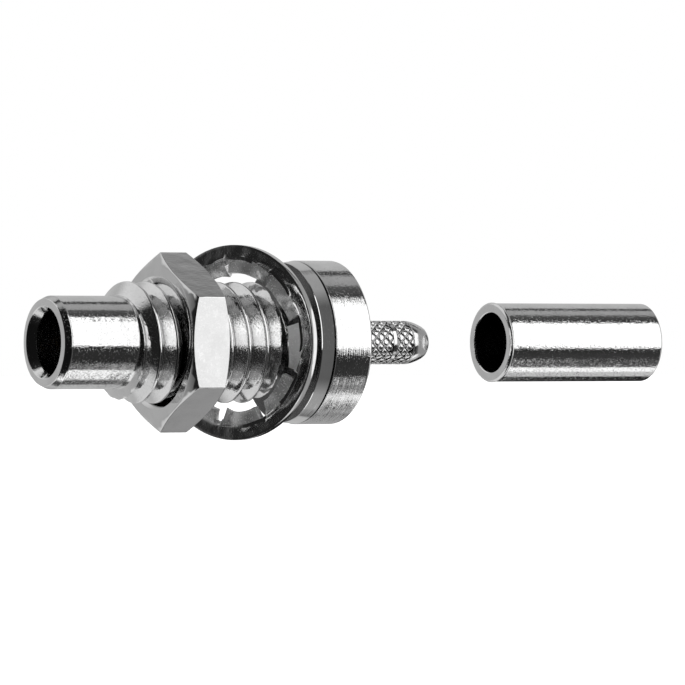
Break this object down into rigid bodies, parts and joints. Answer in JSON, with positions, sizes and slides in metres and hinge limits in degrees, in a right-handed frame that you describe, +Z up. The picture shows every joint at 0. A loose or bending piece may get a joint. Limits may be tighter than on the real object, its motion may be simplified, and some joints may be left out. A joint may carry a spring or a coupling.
{
  "type": "bulkhead coaxial crimp connector",
  "caption": "Panel-mount coaxial crimp connector: smooth mating barrel, threaded body with hex nut and toothed lock washer, round flange, knurled crimp spigot and separate crimp ferrule.",
  "frame": {"origin": "centre of the panel seat, the front face of the flange, on the connector's axis", "axes": "+X along the axis towards the cable end, the mating mouth at -X; +Z up, through two corners of the hex nut"},
  "size_m": [0.0277, 0.007, 0.0076],
  "materials": {
    "plated_brass": "turned and nickel plated",
    "plated_bronze": "stamped and bright nickel plated",
    "plated_copper": "drawn and nickel plated",
    "dielectric": "waxy white",
    "gold_plate": "gold plated"
  },
  "bodies": {
    "connector": {"panel_body": "plated_brass", "crimp_body": "plated_brass", "insulator": "dielectric", "centre_contact": "gold_plate"},
    "washer": {"lock_washer": "plated_bronze"},
    "nut": {"hex_nut": "plated_brass"},
    "ferrule": {"crimp_ferrule": "plated_copper"}
  },
  "joints": [
    {"name": "washer_travel", "type": "slide", "parent": "connector", "child": "washer", "axis": [-1, 0, 0], "range_m": [-0.00033, 0.01071]},
    {"name": "nut_turn", "type": "hinge", "parent": "washer", "child": "nut", "pos_m": [-0.00486, 0, 0], "axis": [-1, 0, 0], "range_deg": [-150, 4860]},
    {"name": "ferrule_slide", "type": "slide", "parent": "connector", "child": "ferrule", "axis": [-1, 0, 0], "range_m": [0, 0.00742]}
  ],
  "couplings": [
    {"joint": "nut_turn", "follows": "washer_travel", "rad_per_m": 7915.8}
  ]
}
